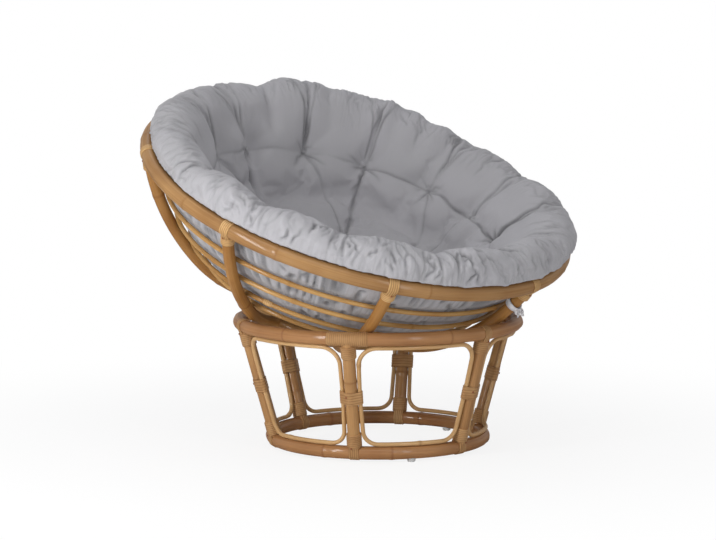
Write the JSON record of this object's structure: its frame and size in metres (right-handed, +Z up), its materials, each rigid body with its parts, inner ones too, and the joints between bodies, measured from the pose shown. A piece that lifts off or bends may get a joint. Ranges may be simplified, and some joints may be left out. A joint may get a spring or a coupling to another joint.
{
  "type": "papasan chair",
  "caption": "Round bowl chair of bent rattan poles, tilted back on a flared rattan stand, with a deep tufted cotton cushion.",
  "frame": {"origin": "on the floor, under the middle of the bowl's rim at the tilt of the picture", "axes": "+Z up, -Y towards the low front edge of the bowl, +X to the right of a viewer who looks along +Y"},
  "size_m": [1.0446, 0.9814, 0.834],
  "materials": {
    "stand_pole": "satin",
    "bowl_pole": "satin",
    "rattan_rod": "satin",
    "rattan_peel": "satin",
    "cushion_cotton": "matte",
    "glide_plastic": "satin"
  },
  "bodies": {
    "stand": {"base_top_ring": "stand_pole", "base_bottom_ring": "stand_pole", "leg_1": "stand_pole", "leg_2": "stand_pole", "leg_3": "stand_pole", "leg_4": "stand_pole", "leg_5": "stand_pole", "leg_6": "stand_pole", "infill_loop_1": "rattan_rod", "infill_loop_2": "rattan_rod", "infill_loop_3": "rattan_rod", "infill_loop_4": "rattan_rod", "infill_loop_5": "rattan_rod", "infill_loop_6": "rattan_rod", "top_binding_1": "rattan_peel", "top_binding_2": "rattan_peel", "top_binding_3": "rattan_peel", "top_binding_4": "rattan_peel", "top_binding_5": "rattan_peel", "top_binding_6": "rattan_peel", "middle_binding_1": "rattan_peel", "middle_binding_2": "rattan_peel", "middle_binding_3": "rattan_peel", "middle_binding_4": "rattan_peel", "middle_binding_5": "rattan_peel", "middle_binding_6": "rattan_peel", "foot_binding_1": "rattan_peel", "foot_binding_2": "rattan_peel", "foot_binding_3": "rattan_peel", "foot_binding_4": "rattan_peel", "foot_binding_5": "rattan_peel", "foot_binding_6": "rattan_peel", "glide_1": "glide_plastic", "glide_2": "glide_plastic", "glide_3": "glide_plastic"},
    "bowl": {"bowl_rim": "bowl_pole", "bowl_foot_ring": "bowl_pole", "rib_1": "bowl_pole", "rib_2": "bowl_pole", "rib_3": "bowl_pole", "rib_4": "bowl_pole", "rib_5": "bowl_pole", "rib_6": "bowl_pole", "rib_7": "bowl_pole", "rib_8": "bowl_pole", "hoop_1": "rattan_rod", "hoop_2": "rattan_rod", "hoop_3": "rattan_rod", "hoop_4": "rattan_rod", "rim_binding_1": "rattan_peel", "rim_binding_2": "rattan_peel", "rim_binding_3": "rattan_peel", "rim_binding_4": "rattan_peel", "rim_binding_5": "rattan_peel", "rim_binding_6": "rattan_peel", "rim_binding_7": "rattan_peel", "rim_binding_8": "rattan_peel", "cushion_tie": "cushion_cotton"},
    "cushion": {"cushion": "cushion_cotton"}
  },
  "joints": [
    {"name": "bowl_tilt", "type": "hinge", "parent": "stand", "child": "bowl", "pos_m": [0, -0.07072, 0.75891], "axis": [1, 0, 0], "range_deg": [-22, 4]},
    {"name": "cushion_lift", "type": "slide", "parent": "bowl", "child": "cushion", "axis": [0, -0.3774, 0.9261], "range_m": [0, 0.45]}
  ]
}
